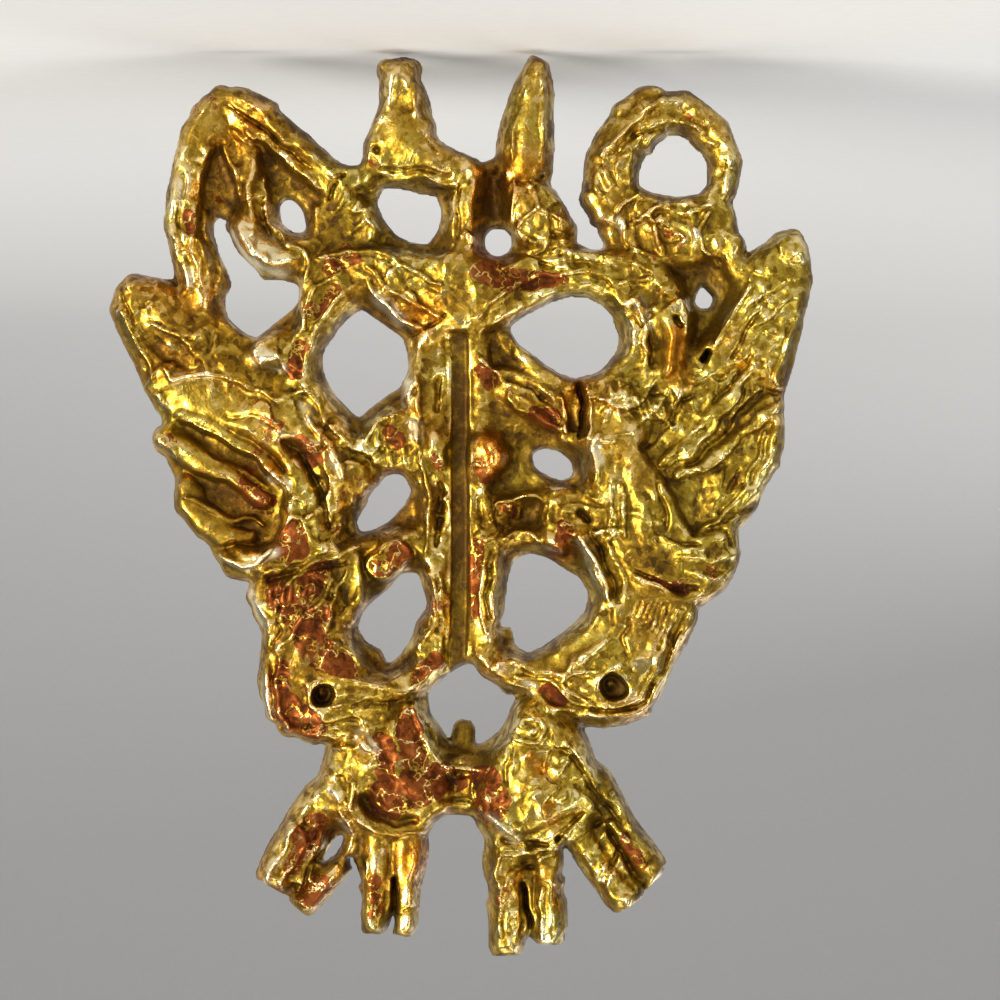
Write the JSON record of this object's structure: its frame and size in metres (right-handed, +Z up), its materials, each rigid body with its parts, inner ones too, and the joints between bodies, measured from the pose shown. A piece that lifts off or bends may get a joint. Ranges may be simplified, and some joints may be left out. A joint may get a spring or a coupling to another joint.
{
  "type": "dove brooch",
  "caption": "Openwork cast brass brooch: doves beak to beak across a grooved tree trunk, forked twig crowns above, a ring, spear, foot and loops below, and a hinged pin with a turning catch.",
  "frame": {"origin": "on the flat back of the casting, behind the tree trunk, halfway up the figure", "axes": "+Z up the figure, +X to the right as seen from the front, the relief faces -Y and the pin is on +Y"},
  "size_m": [0.0468, 0.0092, 0.06],
  "materials": {
    "casting_brass": "rubbed bright on the high places over a dark brown patina",
    "fitting_brass": "satin",
    "pin_wire": "drawn and polished"
  },
  "bodies": {
    "brooch": {"casting": "casting_brass", "hinge_bracket": "fitting_brass", "hinge_rivet": "fitting_brass", "catch_base": "fitting_brass"},
    "pin": {"pin_stem": "pin_wire"},
    "barrel": {"catch_barrel": "fitting_brass"}
  },
  "joints": [
    {"name": "pin_swing", "type": "hinge", "parent": "brooch", "child": "pin", "pos_m": [-0.0135, 0.0024, 0.0027], "axis": [0, 0, 1], "range_deg": [0, 115]},
    {"name": "catch_turn", "type": "hinge", "parent": "brooch", "child": "barrel", "pos_m": [0.0106, 0.0024, 0.0027], "axis": [1, 0, 0], "range_deg": [0, 85]}
  ]
}
